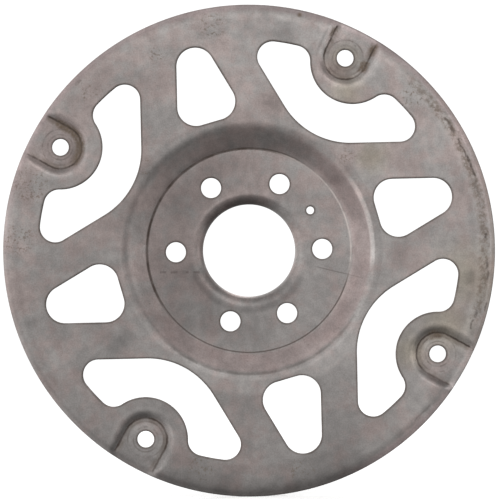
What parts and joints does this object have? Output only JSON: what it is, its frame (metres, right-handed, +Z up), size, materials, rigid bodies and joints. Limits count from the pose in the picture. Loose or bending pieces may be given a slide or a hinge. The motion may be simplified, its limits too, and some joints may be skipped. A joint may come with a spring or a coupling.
{
  "type": "flexplate",
  "caption": "Pressed-steel flexplate (drive plate) without a ring gear: dished hub with crank bolt holes, windowed web, sunk converter pads and a turned-back rim.",
  "frame": {"origin": "on the shaft axis, in the plane of the hub's engine-side face", "axes": "+Y along the shaft axis towards the transmission, so -Y is the engine side; +X through the first crankshaft bolt hole; +Z up with the plate on edge"},
  "size_m": [0.2904, 0.018, 0.2904],
  "materials": {
    "sheet_steel": "bare pressed steel, dull warm grey with light oil staining and thin rust at the rim"
  },
  "bodies": {
    "root": {"flexplate": "sheet_steel"}
  },
  "joints": []
}
